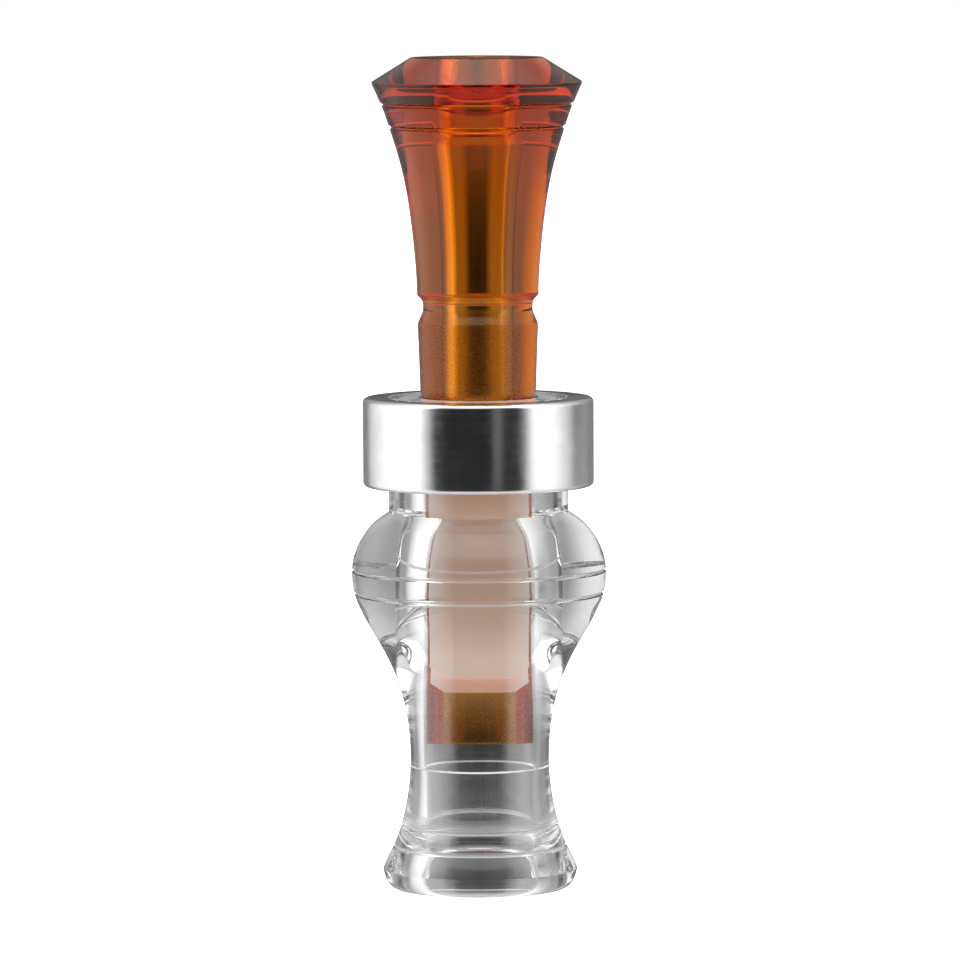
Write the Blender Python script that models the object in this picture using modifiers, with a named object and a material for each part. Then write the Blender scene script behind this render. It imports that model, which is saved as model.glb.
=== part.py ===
"""A double-reed duck call, standing on its mouthpiece with the exhaust bell up and the reeds facing -Y.

The barrel and its band stay still. The insert, which carries the wedge and the two reeds, pulls out
upwards, and each reed bends about the wedge's front edge. Lengths below are in millimetres, and MM
turns them into metres.
"""

import math

import bmesh
import bpy
import numpy as np

MM = 0.001
TURNED_STEPS = 48
SPAN_STEPS = 2
EDGE_STEPS = 3
BALL_STEPS = 6
GAP = 0.3  # running or seated clearance between two pieces
CUT_MARGIN = 2.0  # how far a cutter reaches past the surface that it cuts

# Barrel: a 5/8 inch bore, the bulb under the band, the waist and the mouthpiece lip.
BORE_RADIUS = 7.94
SEAT_RADIUS = 8.4  # the bore opens a little towards the top, for the insert's taper
SEAT_BOTTOM = 62.0
MOUTH_BORE_RADIUS = 7.6
MOUTH_STEP_HEIGHT = 16.9
MOUTH_STEP_RISE = 0.3
MOUTH_CONE_TOP = 10.1
MOUTH_FLARE = [(8.1, 8.1), (8.15, 5.0), (8.3, 2.0), (8.7, 0.4)]
MOUTH_EDGE_RADIUS = 9.1
NECK_RADIUS = 12.6
BARREL_TOP = 69.2
LIP_WIDEST = (13.65, 2.7)
LIP = [LIP_WIDEST, (13.2, 1.2), (12.6, 0.4), (11.9, 0)]
BULB = [(12.6, 53.1), (14.8, 51.5), (16.05, 50.0), (17.15, 48.0), (17.75, 46.0), (17.85, 44.0), (17.6, 42.0)]
WAIST = [(15.95, 38.0), (13.65, 34.0), (11.75, 30.0), (10.55, 26.0), (9.92, 22.0), (9.75, 18.0)]
FOOT = [(10.03, 14.0), (10.79, 10.0), (12.15, 6.0), (13.1, 4.1)]
BARREL_GROOVES = [44.9, 41.7, 8.85, 5.9]
RING_GROOVE_WIDTH = 0.6
RING_GROOVE_DEPTH = 0.3

# Band: pressed on the barrel's neck, its top flush with the barrel's end.
BAND_RADIUS = 16.2
BAND_BOTTOM = 56.7
BAND_EDGE = 0.7

# Insert: bell, lanyard groove, tapered tenon and toneboard, turned and milled from one rod.
INSERT_TOP = 116.8
RIM_RADIUS = 9.3
BELL_WIDEST = (14.7, 113.45)
BELL_GROOVES = [110.3, 107.1]
BELL = [(14.7, 113.15), (13.33, 110.0), (11.97, 106.0), (10.78, 102.0)]
THROAT = [(9.92, 98.0), (9.33, 94.0), (8.9, 90.0), (8.6, 86.0), (8.52, 83.6)]
LANYARD_GROOVE = [(8.3, 83.35), (7.78, 82.7), (7.7, 82.2), (7.7, 81.5), (8.0, 80.6), (8.38, 79.75)]
TAPER = [(8.45, 79.2), (8.3, 75.5), (8.17, 71.5), (8.08, 69.2), (7.85, 65.5), (7.64, 62.0)]
TONEBOARD_RADIUS = 7.6
TONEBOARD_TIP = 20.6
TONEBOARD_LENGTH = 40.0
EXHAUST_RADIUS = 3.4
FLARE = [(3.4, 88.0), (3.5, 92.0), (3.75, 98.0), (4.05, 102.5), (4.4, 106.0)]
EXHAUST_MOUTH = [(4.2, 106.6), (4.2, 116.3)]
EXHAUST_EDGE_RADIUS = 4.7
CHANNEL_RADIUS = 4.2
CHANNEL_END = 35.0
CHANNEL_TOP = 58.5
CHANNEL_INSET = 0.2  # the channel's cutter ends inside the exhaust bore, this far from its wall

# The toneboard's face lies in front of the axis and curves away from the reeds towards the tip.
FACE_Y = -1.0
FACE_DROP = 1.0
FACE_FLAT_ABOVE = 56.0
FACE_STEPS = 8
NOTCH_TOP = 63.5
NOTCH_LEAN = 1.6  # how far the notch's wall comes down over the depth of the cut
CUT_DEPTH = 9.0

# Reeds: two strips of mylar, the shorter one in front of the longer, clamped by the wedge.
REED_WIDTH = 13.4
REED_THICKNESS = 0.3
REED_TOP = 63.0
LOWER_REED_TIP = 29.1
UPPER_REED_TIP = 31.5
LOWER_REED_CORNER = (1.9, 1.45)  # how far the corner is cut back across and along the strip
UPPER_REED_CORNER = (2.5, 1.8)

# Wedge: fills the notch in front of the reeds.
WEDGE_RADIUS = 7.3
WEDGE_FRONT = 57.4
WEDGE_BEVEL = 1.2
WEDGE_DEPTH = 6.0


def clear_scene():
    for obj in list(bpy.data.objects):
        bpy.data.objects.remove(obj, do_unlink=True)


def new_collection(name, hidden=False):
    collection = bpy.data.collections.new(name)
    bpy.context.scene.collection.children.link(collection)
    collection.hide_render = hidden
    return collection


def new_material(name, colour, roughness, metallic=0.0, alpha=1.0):
    material = bpy.data.materials.new(name)
    material.use_nodes = True
    shader = material.node_tree.nodes["Principled BSDF"]
    shader.inputs["Base Color"].default_value = (*colour, 1.0)
    shader.inputs["Roughness"].default_value = roughness
    shader.inputs["Metallic"].default_value = metallic
    shader.inputs["Alpha"].default_value = alpha
    return material


def place(obj, collection, material=None):
    collection.objects.link(obj)
    if material is not None:
        obj.data.materials.append(material)
    return obj


def as_cutter(obj):
    obj.hide_render = True
    obj.display_type = "WIRE"
    return obj


def smooth_through(points, steps=SPAN_STEPS):
    """A natural cubic spline through the points, with so many steps from each point to the next."""
    knots = np.array(points, float)
    spans = np.linalg.norm(np.diff(knots, axis=0), axis=1)
    count = len(knots)
    matrix, right = np.eye(count), np.zeros((count, 2))
    for i in range(1, count - 1):
        before, after = spans[i - 1], spans[i]
        matrix[i, i - 1 : i + 2] = before, 2 * (before + after), after
        right[i] = 6 * ((knots[i + 1] - knots[i]) / after - (knots[i] - knots[i - 1]) / before)
    bend = np.linalg.solve(matrix, right)
    curve = []
    for i, span in enumerate(spans):
        for step in range(steps):
            t = step / steps
            u = 1 - t
            chord = u * knots[i] + t * knots[i + 1]
            curve.append(tuple(chord + ((u**3 - u) * bend[i] + (t**3 - t) * bend[i + 1]) * span**2 / 6))
    return [*curve, tuple(points[-1])]


def arc(centre, radius, start_deg, end_deg, steps):
    angles = [math.radians(start_deg + (end_deg - start_deg) * i / steps) for i in range(steps + 1)]
    return [(centre[0] + radius * math.cos(a), centre[1] + radius * math.sin(a)) for a in angles]


def with_grooves(outline, heights):
    """The outline, which runs downwards, with a V groove cut square to the axis at each height."""
    for height in heights:
        top, bottom = height + RING_GROOVE_WIDTH / 2, height - RING_GROOVE_WIDTH / 2
        notch = [(radius_at(outline, top), top)]
        notch.append((radius_at(outline, height) - RING_GROOVE_DEPTH, height))
        notch.append((radius_at(outline, bottom), bottom))
        above = [p for p in outline if p[1] > top]
        below = [p for p in outline if p[1] < bottom]
        outline = above + notch + below
    return outline


def radius_at(outline, height):
    for (r0, z0), (r1, z1) in zip(outline, outline[1:]):
        if z0 >= height >= z1 and z0 > z1:
            return r0 + (r1 - r0) * (z0 - height) / (z0 - z1)
    raise ValueError(f"the outline doesn't reach height {height}")


def turned(name, outline, base, collection, material=None, closed=True):
    """Turns an outline of (radius, height) about Z. Its outer side runs down, and base is the object's origin."""
    mesh = bpy.data.meshes.new(name)
    points = [(radius * MM, 0, (height - base) * MM) for radius, height in outline]
    edges = [(i, i + 1) for i in range(len(points) - 1)]
    if closed:
        edges.append((len(points) - 1, 0))
    mesh.from_pydata(points, edges, [])
    obj = place(bpy.data.objects.new(name, mesh), collection, material)
    obj.location.z = base * MM
    screw = obj.modifiers.new("Turn", "SCREW")
    screw.steps = screw.render_steps = TURNED_STEPS
    screw.use_merge_vertices = True
    screw.merge_threshold = 0.000001
    screw.use_smooth_shade = True
    return obj


def plate(name, outline, half_thickness, rotation, origin, collection, material=None):
    """A flat outline, filled and extruded both ways, as a welded mesh. Its origin is at origin."""
    curve = bpy.data.curves.new(name, "CURVE")
    curve.dimensions = "2D"
    curve.fill_mode = "BOTH"
    curve.extrude = half_thickness * MM
    spline = curve.splines.new("POLY")
    spline.points.add(len(outline) - 1)
    for point, (across, along) in zip(spline.points, outline):
        point.co = (across * MM, along * MM, 0, 1)
    spline.use_cyclic_u = True
    outline_obj = place(bpy.data.objects.new(name + "_outline", curve), collection)
    bpy.context.view_layer.update()
    graph = bpy.context.evaluated_depsgraph_get()
    mesh = bpy.data.meshes.new_from_object(outline_obj.evaluated_get(graph), depsgraph=graph)
    bpy.data.objects.remove(outline_obj, do_unlink=True)
    body = bmesh.new()
    body.from_mesh(mesh)
    bmesh.ops.remove_doubles(body, verts=body.verts, dist=0.000001)
    bmesh.ops.recalc_face_normals(body, faces=body.faces)
    body.to_mesh(mesh)
    body.free()
    mesh.name = name
    obj = place(bpy.data.objects.new(name, mesh), collection, material)
    obj.rotation_euler = rotation
    obj.location = [value * MM for value in origin]
    return obj


ACROSS_X = (math.pi / 2, 0, math.pi / 2)  # an outline of (y, z), extruded along X
ACROSS_Y = (math.pi / 2, 0, 0)  # an outline of (x, z), extruded along Y


def boolean(obj, cutter, operation="DIFFERENCE"):
    modifier = obj.modifiers.new(cutter.name, "BOOLEAN")
    modifier.object = cutter
    modifier.operation = operation
    modifier.solver = "EXACT"


def make_barrel(parts, material):
    body = smooth_through(BULB + WAIST + FOOT + [LIP_WIDEST])
    outside = [(NECK_RADIUS, BARREL_TOP), *with_grooves(body, BARREL_GROOVES), *smooth_through(LIP)[1:]]
    mouth = [(MOUTH_EDGE_RADIUS, 0), *smooth_through(MOUTH_FLARE)[::-1], (MOUTH_BORE_RADIUS, MOUTH_CONE_TOP)]
    mouth.append((MOUTH_BORE_RADIUS, MOUTH_STEP_HEIGHT))
    bore = [(BORE_RADIUS, MOUTH_STEP_HEIGHT + MOUTH_STEP_RISE), (BORE_RADIUS, SEAT_BOTTOM)]
    bore.append((SEAT_RADIUS, BARREL_TOP))
    return turned("barrel", outside + mouth + bore, 0, parts, material)


def make_band(parts, material):
    top_edge = arc((BAND_RADIUS - BAND_EDGE, BARREL_TOP - BAND_EDGE), BAND_EDGE, 90, 0, EDGE_STEPS)
    bottom_edge = arc((BAND_RADIUS - BAND_EDGE, BAND_BOTTOM + BAND_EDGE), BAND_EDGE, 0, -90, EDGE_STEPS)
    inside = [(NECK_RADIUS + GAP, BAND_BOTTOM), (NECK_RADIUS + GAP, BARREL_TOP)]
    return turned("band", top_edge + bottom_edge + inside, BAND_BOTTOM, parts, material)


def face_y(height):
    """How far in front of or behind the axis the toneboard's face lies at a height."""
    along = max(0.0, (FACE_FLAT_ABOVE - height) / (FACE_FLAT_ABOVE - TONEBOARD_TIP))
    return FACE_Y + FACE_DROP * along**2


def make_insert(parts, cutters, material):
    exhaust = [(0, CHANNEL_TOP), (EXHAUST_RADIUS, CHANNEL_TOP)]
    flare = [*smooth_through(FLARE), *EXHAUST_MOUTH, (EXHAUST_EDGE_RADIUS, INSERT_TOP)]
    bell = with_grooves(smooth_through(BELL + THROAT), BELL_GROOVES)
    outside = [(RIM_RADIUS, INSERT_TOP), BELL_WIDEST, *bell, *LANYARD_GROOVE, *smooth_through(TAPER)]
    toneboard = [(TONEBOARD_RADIUS, TONEBOARD_TIP + TONEBOARD_LENGTH), (TONEBOARD_RADIUS, TONEBOARD_TIP)]
    toneboard.append((0, TONEBOARD_TIP))
    outline = exhaust + flare + outside + toneboard
    insert = turned("insert", outline, TONEBOARD_TIP, parts, material, closed=False)

    rise = FACE_FLAT_ABOVE - TONEBOARD_TIP
    heights = [TONEBOARD_TIP + rise * i / FACE_STEPS for i in range(FACE_STEPS + 1)]
    heights.insert(0, TONEBOARD_TIP - CUT_MARGIN)
    face = [(face_y(height), height) for height in heights]
    back = FACE_Y - CUT_DEPTH
    wall = [(FACE_Y, NOTCH_TOP), (back, NOTCH_TOP - NOTCH_LEAN)]
    outline = [(back, heights[0]), *face, *wall]
    face_cutter = as_cutter(plate("face_cutter", outline, CUT_DEPTH, ACROSS_X, (0, 0, 0), cutters))
    boolean(insert, face_cutter)

    end = CHANNEL_TOP + CUT_MARGIN
    top = [(0, end), (EXHAUST_RADIUS - CHANNEL_INSET, end), (CHANNEL_RADIUS, CHANNEL_TOP)]
    ball = arc((0, CHANNEL_END + CHANNEL_RADIUS), CHANNEL_RADIUS, 0, -90, BALL_STEPS)
    channel = turned("channel_cutter", top + ball[:-1] + [(0, CHANNEL_END)], 0, cutters, closed=False)
    boolean(insert, as_cutter(channel))
    return insert


def reed_outline(tip, corner):
    half = REED_WIDTH / 2
    inset, rise = corner
    top = REED_TOP - WEDGE_FRONT
    end = tip - WEDGE_FRONT
    right = [(half - inset, end), (half, end + rise), (half, top)]
    left = [(-half, top), (-half, end + rise), (inset - half, end)]
    return right + left


def make_reed(name, tip, corner, back, parts, material):
    """A reed whose back lies at y = back. Its origin is on the line that it bends about."""
    middle = back - REED_THICKNESS / 2
    origin = (0, middle, WEDGE_FRONT)
    return plate(name, reed_outline(tip, corner), REED_THICKNESS / 2, ACROSS_Y, origin, parts, material)


def make_wedge(parts, cutters, material, back):
    def wall(y):
        return NOTCH_TOP - NOTCH_LEAN * (FACE_Y - y) / CUT_DEPTH - GAP

    front = back - WEDGE_DEPTH
    outline = [(back, WEDGE_FRONT), (back, wall(back)), (front, wall(front)), (front, WEDGE_FRONT + WEDGE_BEVEL)]
    wedge = plate("wedge", outline, CUT_DEPTH, ACROSS_X, (0, 0, 0), parts, material)
    above, below = NOTCH_TOP + CUT_MARGIN, WEDGE_FRONT - CUT_MARGIN
    round_outline = [(0, above), (WEDGE_RADIUS, above), (WEDGE_RADIUS, below), (0, below)]
    rod = turned("wedge_rod", round_outline, 0, cutters, closed=False)
    boolean(wedge, as_cutter(rod), "INTERSECT")
    return wedge


def carry(child, parent):
    """Parents child to parent and leaves it where it is."""
    bpy.context.view_layer.update()
    child.parent = parent
    child.matrix_parent_inverse = parent.matrix_world.inverted()


def main():
    clear_scene()
    parts = new_collection("duck_call")
    cutters = new_collection("cutters", hidden=True)
    clear_acrylic = new_material("clear acrylic", (0.85, 0.86, 0.86), 0.05, alpha=0.35)
    amber_acrylic = new_material("amber acrylic", (0.75, 0.22, 0.02), 0.05)
    aluminium = new_material("turned aluminium", (0.78, 0.78, 0.79), 0.25, metallic=1.0)
    mylar = new_material("frosted mylar", (0.82, 0.76, 0.7), 0.5)
    cork = new_material("wedge cork", (0.55, 0.36, 0.2), 0.9)

    make_barrel(parts, clear_acrylic)
    make_band(parts, aluminium)
    insert = make_insert(parts, cutters, amber_acrylic)
    lower_back = FACE_Y - GAP
    upper_back = lower_back - REED_THICKNESS - GAP
    wedge_back = upper_back - REED_THICKNESS - GAP
    lower = make_reed("reed_lower", LOWER_REED_TIP, LOWER_REED_CORNER, lower_back, parts, mylar)
    upper = make_reed("reed_upper", UPPER_REED_TIP, UPPER_REED_CORNER, upper_back, parts, mylar)
    wedge = make_wedge(parts, cutters, cork, wedge_back)
    for piece in (lower, upper, wedge):
        carry(piece, insert)


main()
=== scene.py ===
"""Looks for the double-reed duck call.

Every turned piece is spun again from the CAD's own outline with many more steps, because clear
acrylic shows each facet. Outlines are (radius, height) in millimetres, and MM turns them into metres.
"""

import math

import bmesh
import bpy
import numpy as np
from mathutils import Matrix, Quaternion, Vector

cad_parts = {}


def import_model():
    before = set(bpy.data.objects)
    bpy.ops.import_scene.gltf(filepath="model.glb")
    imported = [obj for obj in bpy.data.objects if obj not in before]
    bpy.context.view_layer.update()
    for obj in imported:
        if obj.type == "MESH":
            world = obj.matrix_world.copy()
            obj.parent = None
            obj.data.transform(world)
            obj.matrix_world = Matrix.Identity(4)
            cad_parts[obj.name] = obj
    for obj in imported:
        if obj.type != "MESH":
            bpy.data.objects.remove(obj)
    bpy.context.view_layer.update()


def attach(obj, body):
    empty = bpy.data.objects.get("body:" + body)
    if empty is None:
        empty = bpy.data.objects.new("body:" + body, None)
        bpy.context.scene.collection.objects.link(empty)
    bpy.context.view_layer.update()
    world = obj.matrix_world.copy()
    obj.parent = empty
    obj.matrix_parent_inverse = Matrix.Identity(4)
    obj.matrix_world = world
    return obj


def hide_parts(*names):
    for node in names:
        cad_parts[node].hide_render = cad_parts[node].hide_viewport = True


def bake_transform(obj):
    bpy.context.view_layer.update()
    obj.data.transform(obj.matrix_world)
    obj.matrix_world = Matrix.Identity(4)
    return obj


MM = 0.001
TURNED_STEPS = 256
SPAN_STEPS = 8
CUTTER_STEPS = 96
EDGE_STEPS = 8
BALL_STEPS = 16
FACE_STEPS = 24
GROOVE_STEPS = 8
SHARP_DEG = 28
BEVEL_OVER_DEG = 40
CUT_MARGIN = 2.0  # how far a cutter reaches past the surface that it cuts

# Barrel
BORE_RADIUS = 7.94
SEAT_RADIUS = 8.4
SEAT_BOTTOM = 62.0
MOUTH_BORE_RADIUS = 7.6
MOUTH_STEP_HEIGHT = 16.9
MOUTH_STEP_RISE = 0.3
MOUTH_CONE_TOP = 10.1
MOUTH_FLARE = [(8.1, 8.1), (8.15, 5.0), (8.3, 2.0), (8.7, 0.4)]
MOUTH_EDGE_RADIUS = 9.1
NECK_RADIUS = 12.6
NECK_EDGE = 0.3
BARREL_TOP = 69.2
LIP_WIDEST = (13.65, 2.7)
LIP = [LIP_WIDEST, (13.2, 1.2), (12.6, 0.4), (11.9, 0)]
BULB = [(12.6, 53.1), (14.8, 51.5), (16.05, 50.0), (17.15, 48.0), (17.75, 46.0), (17.837, 44.0), (17.6, 42.0)]
WAIST = [(15.95, 38.0), (13.65, 34.0), (11.75, 30.0), (10.55, 26.0), (9.92, 22.0), (9.75, 18.0)]
FOOT = [(10.03, 14.0), (10.79, 10.0), (12.15, 6.0), (13.1, 4.1)]
BARREL_GROOVES = [44.9, 41.7, 8.85, 5.9]
RING_GROOVE_WIDTH = 0.6
RING_GROOVE_DEPTH = 0.3

# Band
BAND_RADIUS = 16.2
BAND_BOTTOM = 56.7
BAND_EDGE = 0.7
BAND_INNER_EDGE = 0.15
BAND_CLEARANCE = 0.02

# Insert
INSERT_TOP = 116.8
RIM_RADIUS = 9.3
EXHAUST_EDGE_RADIUS = 4.7
BELL_GROOVES = [110.3, 107.1]
BELL_WIDEST = (14.7, 113.45)
BELL = [(14.7, 113.15), (13.33, 110.0), (11.97, 106.0), (10.78, 102.0)]
THROAT = [(9.92, 98.0), (9.33, 94.0), (8.9, 90.0), (8.6, 86.0), (8.52, 83.6)]
LANYARD_GROOVE = [(8.3, 83.35), (7.78, 82.7), (7.7, 82.2), (7.7, 81.5), (8.0, 80.6), (8.38, 79.75)]
TAPER = [(8.45, 79.2), (8.3, 75.5), (8.17, 71.5), (8.08, 69.2), (7.85, 65.5), (7.64, 62.0)]
TONEBOARD_RADIUS = 7.6
TONEBOARD_TIP = 20.6
TONEBOARD_LENGTH = 40.0
EXHAUST_RADIUS = 3.4
FLARE = [(3.4, 88.0), (3.5, 92.0), (3.75, 98.0), (4.05, 102.5), (4.4, 106.0)]
EXHAUST_MOUTH = [(4.2, 106.6), (4.2, 116.3)]
CHANNEL_RADIUS = 4.2
CHANNEL_END = 35.0
CHANNEL_TOP = 58.5
CHANNEL_INSET = 0.02  # the channel's cutter ends inside the exhaust bore, this far from its wall
FACE_Y = -1.0
FACE_DROP = 1.0
FACE_FLAT_ABOVE = 56.0
NOTCH_TOP = 63.5
NOTCH_LEAN = 1.6
CUT_DEPTH = 9.0

# Reeds and wedge
GAP = 0.3
REED_WIDTH = 13.4
REED_THICKNESS = 0.3
REED_TOP = 63.0
REED_ROWS = 60
REED_COLUMNS = 24
LOWER_REED_TIP = 29.1
UPPER_REED_TIP = 31.5
LOWER_REED_CORNER = (1.9, 1.45)
UPPER_REED_CORNER = (2.5, 1.8)
WEDGE_RADIUS = 7.3
WEDGE_FRONT = 57.4
WEDGE_BEVEL = 1.2
WEDGE_DEPTH = 6.0
WEDGE_EDGE = 0.15
WEDGE_EDGE_STEPS = 2


# ---------------------------------------------------------------- outlines


def smooth_through(points, steps=SPAN_STEPS):
    """A natural cubic spline through the points, with so many steps from each point to the next."""
    knots = np.array(points, float)
    spans = np.linalg.norm(np.diff(knots, axis=0), axis=1)
    count = len(knots)
    matrix, right = np.eye(count), np.zeros((count, 2))
    for i in range(1, count - 1):
        before, after = spans[i - 1], spans[i]
        matrix[i, i - 1 : i + 2] = before, 2 * (before + after), after
        right[i] = 6 * ((knots[i + 1] - knots[i]) / after - (knots[i] - knots[i - 1]) / before)
    bend = np.linalg.solve(matrix, right)
    curve = []
    for i, span in enumerate(spans):
        for step in range(steps):
            t = step / steps
            u = 1 - t
            chord = u * knots[i] + t * knots[i + 1]
            curve.append(tuple(chord + ((u**3 - u) * bend[i] + (t**3 - t) * bend[i + 1]) * span**2 / 6))
    return [*curve, tuple(points[-1])]


def arc(centre, radius, start_deg, end_deg, steps):
    angles = [math.radians(start_deg + (end_deg - start_deg) * i / steps) for i in range(steps + 1)]
    return [(centre[0] + radius * math.cos(a), centre[1] + radius * math.sin(a)) for a in angles]


def radius_at(outline, height):
    for (r0, z0), (r1, z1) in zip(outline, outline[1:]):
        if z0 >= height >= z1 and z0 > z1:
            return r0 + (r1 - r0) * (z0 - height) / (z0 - z1)
    raise ValueError(f"the outline doesn't reach height {height}")


def with_grooves(outline, heights):
    """The outline, which runs downwards, with a round-bottomed ring groove at each height."""
    half = RING_GROOVE_WIDTH / 2
    for height in heights:
        groove = []
        for i in range(GROOVE_STEPS + 1):
            t = 1 - 2 * i / GROOVE_STEPS
            z = height + t * half
            groove.append((radius_at(outline, z) - RING_GROOVE_DEPTH * (1 - t * t), z))
        above = [p for p in outline if p[1] > height + half]
        below = [p for p in outline if p[1] < height - half]
        outline = above + groove + below
    return outline


# ---------------------------------------------------------------- meshes


def add_object(name, mesh, material):
    obj = bpy.data.objects.new(name, mesh)
    bpy.context.scene.collection.objects.link(obj)
    obj.data.materials.clear()
    obj.data.materials.append(material)
    return obj


def shade(mesh):
    mesh.shade_smooth()
    mesh.set_sharp_from_angle(angle=math.radians(SHARP_DEG))


def tidy(mesh):
    body = bmesh.new()
    body.from_mesh(mesh)
    bmesh.ops.remove_doubles(body, verts=body.verts, dist=1e-7)
    bmesh.ops.dissolve_degenerate(body, edges=body.edges, dist=1e-7)
    body.to_mesh(mesh)
    body.free()


def turned(name, outline, material, steps=TURNED_STEPS):
    """Turns a closed outline about Z. Its outer side runs down."""
    angles = np.arange(steps) * 2 * math.pi / steps
    radius, height = np.array(outline).T * MM
    x = np.outer(radius, np.cos(angles))
    y = np.outer(radius, np.sin(angles))
    z = np.outer(height, np.ones(steps))
    points = np.stack([x, y, z], axis=-1).reshape(-1, 3)
    rows = len(outline)
    faces = []
    for row in range(rows):
        here, below = row * steps, (row + 1) % rows * steps
        for step in range(steps):
            beside = (step + 1) % steps
            faces.append((here + step, below + step, below + beside, here + beside))
    mesh = bpy.data.meshes.new(name)
    mesh.from_pydata(points.tolist(), [], faces)
    tidy(mesh)
    shade(mesh)
    return add_object(name, mesh, material)


def prism(name, outline, half_width, axes, material):
    """An outline extruded both ways. axes says which axes hold the outline's two values and its width."""
    points = []
    for side in (-half_width, half_width):
        for first, second in outline:
            point = [0.0, 0.0, 0.0]
            for axis, value in zip(axes, (first, second, side)):
                point[axis] = value * MM
            points.append(point)
    count = len(outline)
    faces = [tuple(range(count)), tuple(range(2 * count - 1, count - 1, -1))]
    for i in range(count):
        j = (i + 1) % count
        faces.append((j, i, i + count, j + count))
    mesh = bpy.data.meshes.new(name)
    mesh.from_pydata(points, [], faces)
    body = bmesh.new()
    body.from_mesh(mesh)
    bmesh.ops.recalc_face_normals(body, faces=body.faces)
    body.to_mesh(mesh)
    body.free()
    return add_object(name, mesh, material)


def boolean(obj, cutter, operation="DIFFERENCE"):
    """Applies the cut at once and removes the cutter."""
    modifier = obj.modifiers.new("Cut", "BOOLEAN")
    modifier.object = cutter
    modifier.operation = operation
    modifier.solver = "EXACT"
    graph = bpy.context.evaluated_depsgraph_get()
    mesh = bpy.data.meshes.new_from_object(obj.evaluated_get(graph), depsgraph=graph)
    obj.modifiers.clear()
    material = obj.data.materials[0]
    obj.data = mesh
    mesh.materials.clear()
    mesh.materials.append(material)
    bpy.data.objects.remove(cutter, do_unlink=True)
    tidy(mesh)
    shade(mesh)


def apply_bevel(obj, width, segments):
    modifier = obj.modifiers.new("Bevel", "BEVEL")
    modifier.width = width * MM
    modifier.segments = segments
    modifier.limit_method = "ANGLE"
    modifier.angle_limit = math.radians(BEVEL_OVER_DEG)
    graph = bpy.context.evaluated_depsgraph_get()
    mesh = bpy.data.meshes.new_from_object(obj.evaluated_get(graph), depsgraph=graph)
    obj.modifiers.clear()
    obj.data = mesh
    shade(mesh)


# ---------------------------------------------------------------- node trees


class Tree:
    """A node tree, with short calls for the nodes used here. A value is a number or a node's output."""

    def __init__(self, owner):
        owner.use_nodes = True
        self.tree = owner.node_tree

    def add(self, kind):
        return self.tree.nodes.new("ShaderNode" + kind)

    def feed(self, socket, value):
        if isinstance(value, bpy.types.NodeSocket):
            self.tree.links.new(value, socket)
        else:
            socket.default_value = value

    def math(self, operation, first, second=0.0):
        node = self.add("Math")
        node.operation = operation
        self.feed(node.inputs[0], first)
        self.feed(node.inputs[1], second)
        return node.outputs[0]

    def xyz(self, vector):
        node = self.add("SeparateXYZ")
        self.feed(node.inputs[0], vector)
        return node.outputs

    def spread(self, value, low, high, new_low=0.0, new_high=1.0):
        """The value's place from low to high, as a place from new_low to new_high."""
        node = self.add("MapRange")
        numbers = {"Value": value, "From Min": low, "From Max": high, "To Min": new_low, "To Max": new_high}
        for name, number in numbers.items():
            self.feed(node.inputs[name], number)
        return node.outputs["Result"]

    def mix(self, factor, first, second):
        """A number between two others, by a factor."""
        node = self.add("Mix")
        node.data_type = "FLOAT"
        self.feed(node.inputs[0], factor)
        self.feed(node.inputs[2], first)
        self.feed(node.inputs[3], second)
        return node.outputs[0]

    def mix_colours(self, factor, first, second):
        node = self.add("Mix")
        node.data_type = "RGBA"
        self.feed(node.inputs[0], factor)
        self.feed(node.inputs[6], first)
        self.feed(node.inputs[7], second)
        return node.outputs[2]

    def ramp(self, factor, stops):
        """A colour ramp through (position, colour) stops."""
        node = self.add("ValToRGB")
        elements = node.color_ramp.elements
        while len(elements) < len(stops):
            elements.new(1.0)
        for element, (position, colour) in zip(elements, stops):
            element.position = position
            element.color = (*colour, 1.0)
        self.feed(node.inputs["Fac"], factor)
        return node.outputs["Color"]


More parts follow.
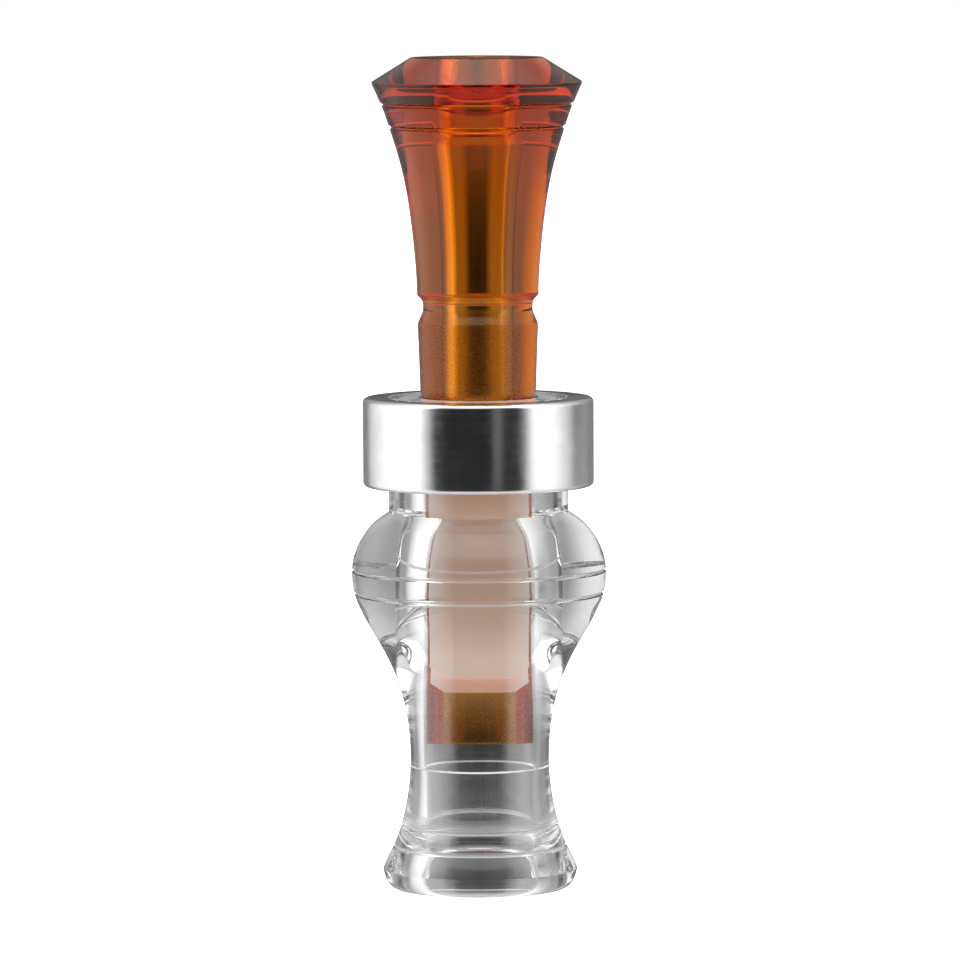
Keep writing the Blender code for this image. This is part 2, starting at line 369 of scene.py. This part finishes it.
class Material(Tree):
    """A material's tree, with its Principled shader.

    place, x, height and radius are nodes' outputs in metres, from the piece's own origin. near, within and
    bump take millimetres.
    """

    def __init__(self, name, **values):
        self.material = bpy.data.materials.new(name)
        super().__init__(self.material)
        self.shader = self.tree.nodes["Principled BSDF"]
        self.output = self.tree.nodes["Material Output"]
        self.place = self.add("TexCoord").outputs["Object"]
        self.x, y, self.height = self.xyz(self.place)
        squares = self.math("ADD", self.math("MULTIPLY", self.x, self.x), self.math("MULTIPLY", y, y))
        self.radius = self.math("SQRT", squares)
        self.set(**values)

    def set(self, **values):
        """Feeds the shader's sockets. An underscore in a name stands for a space."""
        for name, value in values.items():
            self.feed(self.shader.inputs[name.replace("_", " ")], value)

    def scaled(self, scale):
        node = self.add("VectorMath")
        node.operation = "MULTIPLY"
        self.feed(node.inputs[0], self.place)
        self.feed(node.inputs[1], scale)
        return node.outputs[0]

    def noise(self, vector, scale=1.0, detail=3.0, roughness=0.5):
        node = self.add("TexNoise")
        values = {"Vector": vector, "Scale": scale, "Detail": detail, "Roughness": roughness}
        for name, value in values.items():
            self.feed(node.inputs[name], value)
        return node.outputs["Fac"]

    def near(self, heights, reach):
        """1 within reach of one of the heights, and 0 elsewhere."""
        found = 0.0
        for height in heights:
            off = self.math("ABSOLUTE", self.math("SUBTRACT", self.height, height * MM))
            found = self.math("MAXIMUM", found, self.math("LESS_THAN", off, reach * MM))
        return found

    def within(self, radius):
        """1 nearer to the axis than the radius, and 0 outside it."""
        return self.math("LESS_THAN", self.radius, radius * MM)

    def bump(self, height, strength, depth, under=None):
        """A bump of some depth, over another one or over the plain surface."""
        node = self.add("Bump")
        self.feed(node.inputs["Height"], height)
        self.feed(node.inputs["Strength"], strength)
        self.feed(node.inputs["Distance"], depth * MM)
        if under is not None:
            self.feed(node.inputs["Normal"], under)
        return node.outputs["Normal"]


# ---------------------------------------------------------------- materials


SURFACE_REACH = 0.1  # how far from a surface a mask still counts as on it, in millimetres

# Noise scales: the rings that a lathe leaves, marks along the axis, and an unpolished surface's grain.
TURNING = (40, 40, 4200)
SCUFFS = (1400, 1400, 45)
GRAIN = (2200, 2200, 3600)
AMBER_DENSITY = 400.0
UNPOLISHED_BELOW = 80.0  # the insert is left as it was cut below this height
POLISH_FADE = 0.4
DULL_EDGE_REACH = 0.35


def clear_acrylic():
    """Polished cast acrylic, scuffed along its bore. The ring grooves and the mouth are as they were cut."""
    look = Material("clear_acrylic", Base_Color=(0.985, 0.99, 0.99, 1.0), IOR=1.49)
    below_step = look.math("LESS_THAN", look.height, MOUTH_STEP_HEIGHT * MM)
    in_mouth = look.math("MULTIPLY", look.within(MOUTH_BORE_RADIUS + SURFACE_REACH), below_step)
    cone_bottom = MOUTH_FLARE[0][1]
    on_cone = look.near([(MOUTH_CONE_TOP + cone_bottom) / 2], (MOUTH_CONE_TOP - cone_bottom) / 2)
    on_cone = look.math("MULTIPLY", on_cone, look.within(MOUTH_FLARE[2][0] + SURFACE_REACH))
    in_groove = look.near(BARREL_GROOVES, SURFACE_REACH)
    above_cone = look.math("GREATER_THAN", look.height, MOUTH_CONE_TOP * MM)
    in_bore = look.math("MULTIPLY", look.within(SEAT_RADIUS + SURFACE_REACH), above_cone)

    marks = look.noise(look.scaled(TURNING))
    streaks = look.noise(look.scaled(SCUFFS))
    rough = look.spread(marks, 0.35, 0.75, 0.0, 0.012)
    rough = look.mix(in_mouth, rough, look.spread(streaks, 0.3, 0.7, 0.0, 0.2))
    rough = look.mix(in_groove, rough, 0.45)
    rough = look.mix(on_cone, rough, 0.25)
    scuffed = look.bump(look.math("MULTIPLY", in_bore, streaks), 0.25, 0.02)
    normal = look.bump(marks, 0.05, 0.003, under=scuffed)
    clear = look.math("SUBTRACT", 1.0, look.math("MULTIPLY", in_groove, 0.5))
    look.set(Roughness=rough, Transmission_Weight=clear, Normal=normal)
    return look.material


def amber_acrylic():
    """Tinted acrylic, polished on the bell and left as it was cut below the lanyard groove."""
    look = Material("amber_acrylic", Base_Color=(1.0, 0.97, 0.93, 1.0), Transmission_Weight=1.0, IOR=1.49)
    look.set(Specular_Tint=(1.0, 0.8, 0.6, 1.0))
    absorption = look.add("VolumeAbsorption")
    look.feed(absorption.inputs["Color"], (0.95, 0.685, 0.0, 1.0))
    look.feed(absorption.inputs["Density"], AMBER_DENSITY)
    look.feed(look.output.inputs["Volume"], absorption.outputs[0])

    polished_above = UNPOLISHED_BELOW + POLISH_FADE
    unpolished = look.spread(look.height, UNPOLISHED_BELOW * MM, polished_above * MM, 1.0, 0.0)
    grain = look.noise(look.scaled(GRAIN), detail=4.0)
    marks = look.noise(look.scaled(TURNING))
    at_edge = look.near([LANYARD_GROOVE[0][1]], DULL_EDGE_REACH)
    polished = look.mix(at_edge, look.spread(marks, 0.35, 0.75, 0.0, 0.012), 0.35)
    rough = look.mix(unpolished, polished, look.spread(grain, 0.3, 0.7, 0.1, 0.3))
    rings = look.bump(marks, 0.03, 0.002)
    normal = look.bump(look.math("MULTIPLY", grain, unpolished), 0.2, 0.01, under=rings)
    look.set(Roughness=rough, Normal=normal)
    return look.material


def turned_aluminium():
    """Bright turned aluminium: fine rings round the axis, with duller patches from handling."""
    look = Material("turned_aluminium", Metallic=1.0, Anisotropic=0.4)
    tangent = look.add("Tangent")
    tangent.direction_type = "RADIAL"
    tangent.axis = "Z"
    rings = look.noise(look.scaled((30, 30, 6500)), detail=4.0)
    patches = look.noise(look.place, 260.0, detail=5.0, roughness=0.6)
    colour = look.ramp(patches, [(0.3, (0.72, 0.72, 0.73)), (0.7, (0.84, 0.84, 0.85))])
    ring_rough = look.spread(rings, 0.3, 0.7, 0.1, 0.16)
    rough = look.math("ADD", ring_rough, look.spread(patches, 0.4, 0.7, 0.0, 0.06))
    look.set(Tangent=tangent.outputs[0], Base_Color=colour, Roughness=rough)
    look.set(Normal=look.bump(rings, 0.05, 0.006))
    return look.material


PALE_FILM = (1.0, 0.94, 0.88)
PALE_FROM = 3.4  # how far from its middle the film starts to turn pale, and where it is palest
PALE_AT = 6.4
# Painted glow: emission colours along the reed that stand in for light let through the amber behind it, in
# brighter and dimmer bands from tip to wedge.
PAINTED_FILM_GLOW = [
    (0.0, (0.8, 0.36, 0.2)),
    (0.1, (1.0, 0.62, 0.45)),
    (0.22, (0.9, 0.6, 0.42)),
    (0.4, (0.42, 0.16, 0.06)),
    (0.62, (0.32, 0.1, 0.02)),
    (0.78, (1.0, 0.6, 0.42)),
    (0.92, (0.7, 0.36, 0.2)),
]


def frosted_mylar(name, middle):
    """Frosted reed film, paler along its edges. middle is its colour down the middle.

    Its faint glow is painted light: an emission that stands in for the light that the amber behind it lets
    through, weaker over the tone channel.
    """
    # The emission strength here is painted light; the film is no lamp.
    look = Material(name, IOR=1.3, Emission_Strength=0.22)
    grain = look.noise(look.place, 5200.0, detail=2.0)
    cloud = look.spread(look.noise(look.place, 180.0), 0.3, 0.7, -0.08, 0.08)
    across = look.spread(look.math("ABSOLUTE", look.x), PALE_FROM * MM, PALE_AT * MM, 0.1, 0.9)
    along = look.spread(look.height, LOWER_REED_TIP * MM, WEDGE_FRONT * MM)
    look.set(Base_Color=look.ramp(look.math("ADD", across, cloud), [(0.0, middle), (1.0, PALE_FILM)]))
    # Painted glow along the reed, standing in for light that comes through the amber behind it.
    look.set(Emission_Color=look.ramp(along, PAINTED_FILM_GLOW))
    look.set(Roughness=look.spread(grain, 0.3, 0.7, 0.35, 0.5), Normal=look.bump(grain, 0.15, 0.01))
    return look.material


CORK_TONES = [(0.1, (0.10, 0.05, 0.025)), (0.45, (0.42, 0.24, 0.12)), (0.9, (0.62, 0.40, 0.22))]


def cork():
    look = Material("cork")
    cells = look.add("TexVoronoi")
    look.feed(cells.inputs["Vector"], look.place)
    look.feed(cells.inputs["Scale"], 1400.0)
    grain = look.noise(look.place, 900.0, detail=5.0, roughness=0.65)
    pits = look.spread(look.noise(look.place, 620.0, detail=2.0), 0.62, 0.72)
    tone = look.math("SUBTRACT", look.math("ADD", grain, cells.outputs["Distance"]), pits)
    look.set(Base_Color=look.ramp(tone, CORK_TONES), Normal=look.bump(tone, 0.5, 0.12))
    look.set(Roughness=look.spread(grain, 0.3, 0.7, 0.75, 0.95))
    return look.material


# ---------------------------------------------------------------- pieces


def make_barrel(material):
    body = smooth_through(BULB + WAIST + FOOT + [LIP_WIDEST])
    outside = [(NECK_RADIUS - NECK_EDGE, BARREL_TOP), (NECK_RADIUS, BARREL_TOP - NECK_EDGE)]
    outside += [*with_grooves(body, BARREL_GROOVES), *smooth_through(LIP)[1:]]
    flare = smooth_through(MOUTH_FLARE)[::-1]
    mouth = [(MOUTH_EDGE_RADIUS, 0), *flare, (MOUTH_BORE_RADIUS, MOUTH_CONE_TOP)]
    mouth.append((MOUTH_BORE_RADIUS, MOUTH_STEP_HEIGHT))
    bore = [(BORE_RADIUS, MOUTH_STEP_HEIGHT + MOUTH_STEP_RISE), (BORE_RADIUS, SEAT_BOTTOM)]
    bore.append((SEAT_RADIUS, BARREL_TOP))
    piece = turned("barrel_body", outside + mouth + bore, material)
    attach(piece, "barrel")
    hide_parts("barrel")


def make_band(material):
    inner = NECK_RADIUS + BAND_CLEARANCE
    top_edge = arc((BAND_RADIUS - BAND_EDGE, BARREL_TOP - BAND_EDGE), BAND_EDGE, 90, 0, EDGE_STEPS)
    bottom_edge = arc((BAND_RADIUS - BAND_EDGE, BAND_BOTTOM + BAND_EDGE), BAND_EDGE, 0, -90, EDGE_STEPS)
    inside = [(inner + BAND_INNER_EDGE, BAND_BOTTOM), (inner, BAND_BOTTOM + BAND_INNER_EDGE)]
    inside += [(inner, BARREL_TOP - BAND_INNER_EDGE), (inner + BAND_INNER_EDGE, BARREL_TOP)]
    piece = turned("band_ring", top_edge + bottom_edge + inside, material)
    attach(piece, "barrel")
    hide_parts("band")


def face_y(height):
    """How far in front of or behind the axis the toneboard's face lies at a height."""
    along = max(0.0, (FACE_FLAT_ABOVE - height) / (FACE_FLAT_ABOVE - TONEBOARD_TIP))
    return FACE_Y + FACE_DROP * along**2


def make_insert(material):
    flare = [*smooth_through(FLARE), *EXHAUST_MOUTH, (EXHAUST_EDGE_RADIUS, INSERT_TOP)]
    bell = with_grooves(smooth_through(BELL + THROAT), BELL_GROOVES)
    tenon = smooth_through(TAPER)
    groove = smooth_through(LANYARD_GROOVE)
    outside = [(RIM_RADIUS, INSERT_TOP), BELL_WIDEST, *bell, *groove, *tenon]
    toneboard = [(TONEBOARD_RADIUS, TONEBOARD_TIP + TONEBOARD_LENGTH), (TONEBOARD_RADIUS, TONEBOARD_TIP)]
    toneboard.append((0, TONEBOARD_TIP))
    outline = [(0, CHANNEL_TOP), (EXHAUST_RADIUS, CHANNEL_TOP), *flare, *outside, *toneboard]
    insert = turned("insert_body", outline, material)

    rise = FACE_FLAT_ABOVE - TONEBOARD_TIP
    heights = [TONEBOARD_TIP + rise * i / FACE_STEPS for i in range(FACE_STEPS + 1)]
    heights.insert(0, TONEBOARD_TIP - CUT_MARGIN)
    back = FACE_Y - CUT_DEPTH
    face = [(back, heights[0]), *[(face_y(height), height) for height in heights]]
    face += [(FACE_Y, NOTCH_TOP), (back, NOTCH_TOP - NOTCH_LEAN)]
    boolean(insert, prism("face_cutter", face, CUT_DEPTH, (1, 2, 0), material))

    end = CHANNEL_TOP + CUT_MARGIN
    top = [(0, end), (EXHAUST_RADIUS - CHANNEL_INSET, end), (CHANNEL_RADIUS, CHANNEL_TOP)]
    ball = arc((0, CHANNEL_END + CHANNEL_RADIUS), CHANNEL_RADIUS, 0, -90, BALL_STEPS)
    channel = turned("channel_cutter", top + ball[:-1] + [(0, CHANNEL_END)], material, CUTTER_STEPS)
    boolean(insert, channel)
    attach(insert, "insert")
    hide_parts("insert")


def half_width_at(height, tip, corner):
    inset, rise = corner
    return REED_WIDTH / 2 - inset * max(0.0, 1 - (height - tip) / rise)


def make_reed(name, tip, corner, back, body, material):
    """A reed as a fine, flat grid. Its back lies at y = back."""
    rise = corner[1]
    heights = [tip, tip + rise / 2, tip + rise] + list(np.linspace(tip + rise, REED_TOP, REED_ROWS)[1:])
    points, faces = [], []
    for y in (back - REED_THICKNESS, back):
        for height in heights:
            half = half_width_at(height, tip, corner)
            for column in range(REED_COLUMNS + 1):
                points.append((half * (2 * column / REED_COLUMNS - 1) * MM, y * MM, height * MM))
    row = REED_COLUMNS + 1
    sheet = row * len(heights)
    for i in range(len(heights) - 1):
        for j in range(REED_COLUMNS):
            a = i * row + j
            faces.append((a, a + 1, a + row + 1, a + row))
            faces.append((a + sheet + row, a + sheet + row + 1, a + sheet + 1, a + sheet))
    rim = list(range(row))
    rim += [i * row + REED_COLUMNS for i in range(1, len(heights))]
    rim += [(len(heights) - 1) * row + j for j in range(REED_COLUMNS - 1, -1, -1)]
    rim += [i * row for i in range(len(heights) - 2, 0, -1)]
    for a, b in zip(rim, rim[1:] + rim[:1]):
        faces.append((a + sheet, b + sheet, b, a))
    mesh = bpy.data.meshes.new(name)
    mesh.from_pydata(points, [], faces)
    shade(mesh)
    piece = add_object(name, mesh, material)
    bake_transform(piece)
    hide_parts(body)


def make_wedge(back, material):
    def wall(y):
        return NOTCH_TOP - NOTCH_LEAN * (FACE_Y - y) / CUT_DEPTH - GAP

    front = back - WEDGE_DEPTH
    outline = [(back, WEDGE_FRONT), (back, wall(back)), (front, wall(front))]
    outline.append((front, WEDGE_FRONT + WEDGE_BEVEL))
    wedge = prism("wedge_block", outline, CUT_DEPTH, (1, 2, 0), material)
    above, below = NOTCH_TOP + CUT_MARGIN, WEDGE_FRONT - CUT_MARGIN
    rod_outline = [(0, above), (WEDGE_RADIUS, above), (WEDGE_RADIUS, below), (0, below)]
    boolean(wedge, turned("rod", rod_outline, material, CUTTER_STEPS), "INTERSECT")
    apply_bevel(wedge, WEDGE_EDGE, WEDGE_EDGE_STEPS)
    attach(wedge, "insert")
    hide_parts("wedge")


# ---------------------------------------------------------------- studio


# The studio's brightness, as rings of (azimuth, level) stops at seven elevations. Azimuth 0 is at the
# camera and 90 to its right. The camera's side is dark, a tall panel stands on each side, and the wall
# behind is grey with a darker strip in line with the camera. It is bright overhead and underneath.
STUDIO_RINGS = [
    (-60, [(-180, 0.9), (180, 0.9)]),
    (
        -25,
        [(-180, 0.1), (-168, 0.26), (-145, 0.36), (-122, 1.1), (-75, 1.6), (-52, 0.9), (-45, 0.06)]
        + [(0, 0.05), (45, 0.06), (52, 0.9), (75, 1.3), (122, 0.6), (145, 0.34), (168, 0.26), (180, 0.1)],
    ),
    (
        0,
        [(-180, 0.03), (-172, 0.04), (-165, 0.26), (-148, 0.24), (-135, 0.8), (-100, 1.4), (-66, 1.9)]
        + [(-52, 0.6), (-45, 0.06), (-30, 0.02), (13, 0.02), (16, 0.2), (22, 0.17), (26, 0.03), (40, 0.03)]
        + [(47, 0.2), (56, 1.3), (64, 1.7), (82, 1.3), (100, 0.8), (112, 0.25)]
        + [(135, 0.35), (148, 0.26), (165, 0.26), (172, 0.04), (180, 0.03)],
    ),
    (
        28,
        [(-180, 0.5), (-145, 0.45), (-115, 1.0), (-75, 1.75), (-49, 1.5), (-43, 0.1), (0, 0.1)]
        + [(43, 0.1), (49, 1.3), (75, 1.7), (115, 0.9), (145, 0.45), (180, 0.5)],
    ),
    (
        37,
        [(-180, 0.5), (-145, 0.45), (-115, 1.0), (-75, 1.75), (-49, 1.6), (-43, 0.1), (0, 0.1)]
        + [(43, 0.1), (49, 1.4), (75, 1.7), (115, 0.9), (145, 0.45), (180, 0.5)],
    ),
    (43, [(-180, 0.45), (-120, 0.8), (-75, 1.7), (0, 1.6), (75, 1.7), (120, 0.8), (180, 0.45)]),
    (65, [(-180, 1.9), (-90, 1.2), (0, 2.4), (90, 1.2), (180, 1.9)]),
]


def make_world():
    """The studio as a world shader, which only the pieces see: the camera itself sees white paper."""
    world = bpy.data.worlds.new("studio")
    bpy.context.scene.world = world
    studio = Tree(world)
    x, y, z = studio.xyz(studio.add("TexCoord").outputs["Generated"])
    to_degrees = 180 / math.pi
    azimuth = studio.math("ARCTAN2", x, studio.math("MULTIPLY", y, -1.0))
    azimuth = studio.spread(studio.math("MULTIPLY", azimuth, to_degrees), -180, 180)
    elevation = studio.math("MULTIPLY", studio.math("ARCSINE", z), to_degrees)

    def ring(stops):
        return studio.ramp(azimuth, [((place + 180) / 360, (light, light, light)) for place, light in stops])

    height, stops = STUDIO_RINGS[0]
    level = ring(stops)
    for next_height, stops in STUDIO_RINGS[1:]:
        level = studio.mix_colours(studio.spread(elevation, height, next_height), level, ring(stops))
        height = next_height
    light = studio.tree.nodes["Background"]
    studio.feed(light.inputs["Color"], level)
    paper = studio.add("Background")
    studio.feed(paper.inputs["Color"], (1, 1, 1, 1))
    seen = studio.add("MixShader")
    studio.feed(seen.inputs[0], studio.add("LightPath").outputs["Is Camera Ray"])
    studio.feed(seen.inputs[1], light.outputs[0])
    studio.feed(seen.inputs[2], paper.outputs[0])
    studio.feed(studio.tree.nodes["World Output"].inputs["Surface"], seen.outputs[0])


FLOOR_HALF = 3.0


def make_floor():
    """White paper that only the camera sees, so that it throws no light into the acrylic."""
    half = FLOOR_HALF
    corners = [(-half, -half, 0), (half, -half, 0), (half, half, 0), (-half, half, 0)]
    mesh = bpy.data.meshes.new("floor")
    mesh.from_pydata(corners, [], [(0, 1, 2, 3)])
    paper = Material("floor", Base_Color=(0.8, 0.8, 0.8, 1), Roughness=0.9)
    paper.set(Emission_Color=(1, 1, 1, 1), Emission_Strength=0.85)
    floor = add_object("floor", mesh, paper.material)
    floor.visible_transmission = False
    floor.visible_glossy = False
    floor.visible_diffuse = False


CAMERA_DISTANCE = 1.15
CAMERA_HEIGHT = 0.152
CAMERA_ROLL_DEG = -0.26
FRAME_HEIGHT = 134.8 * MM
LOOK_AT = (0.0002, 0.0, 0.0575)
SENSOR_WIDTH = 36
CLIP_START = 0.01
CLIP_END = 20


def make_camera():
    data = bpy.data.cameras.new("camera")
    camera = bpy.data.objects.new("camera", data)
    bpy.context.scene.collection.objects.link(camera)
    camera.location = (LOOK_AT[0], -CAMERA_DISTANCE, CAMERA_HEIGHT)
    aim = Vector(LOOK_AT) - camera.location
    data.sensor_width = SENSOR_WIDTH
    data.lens = data.sensor_width * aim.length / FRAME_HEIGHT
    data.clip_start = CLIP_START
    data.clip_end = CLIP_END
    turn = aim.to_track_quat("-Z", "Y") @ Quaternion((0, 0, 1), math.radians(CAMERA_ROLL_DEG))
    camera.rotation_euler = turn.to_euler()
    bpy.context.scene.camera = camera


LIGHT_BOUNCES = 32
LOWER_REED_TINT = (0.9, 0.5, 0.34)
UPPER_REED_TINT = (1.0, 0.74, 0.58)


def main():
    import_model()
    scene = bpy.context.scene
    scene.view_settings.view_transform = "Standard"
    scene.cycles.max_bounces = LIGHT_BOUNCES
    scene.cycles.transmission_bounces = LIGHT_BOUNCES
    scene.cycles.glossy_bounces = LIGHT_BOUNCES // 2
    make_world()
    make_floor()
    make_camera()
    make_barrel(clear_acrylic())
    make_band(turned_aluminium())
    make_insert(amber_acrylic())
    lower_back = FACE_Y - GAP
    upper_back = lower_back - REED_THICKNESS - GAP
    lower_film = frosted_mylar("mylar_lower", LOWER_REED_TINT)
    upper_film = frosted_mylar("mylar_upper", UPPER_REED_TINT)
    make_reed("reed_lower_film", LOWER_REED_TIP, LOWER_REED_CORNER, lower_back, "reed_lower", lower_film)
    make_reed("reed_upper_film", UPPER_REED_TIP, UPPER_REED_CORNER, upper_back, "reed_upper", upper_film)
    make_wedge(upper_back - REED_THICKNESS - GAP, cork())


main()
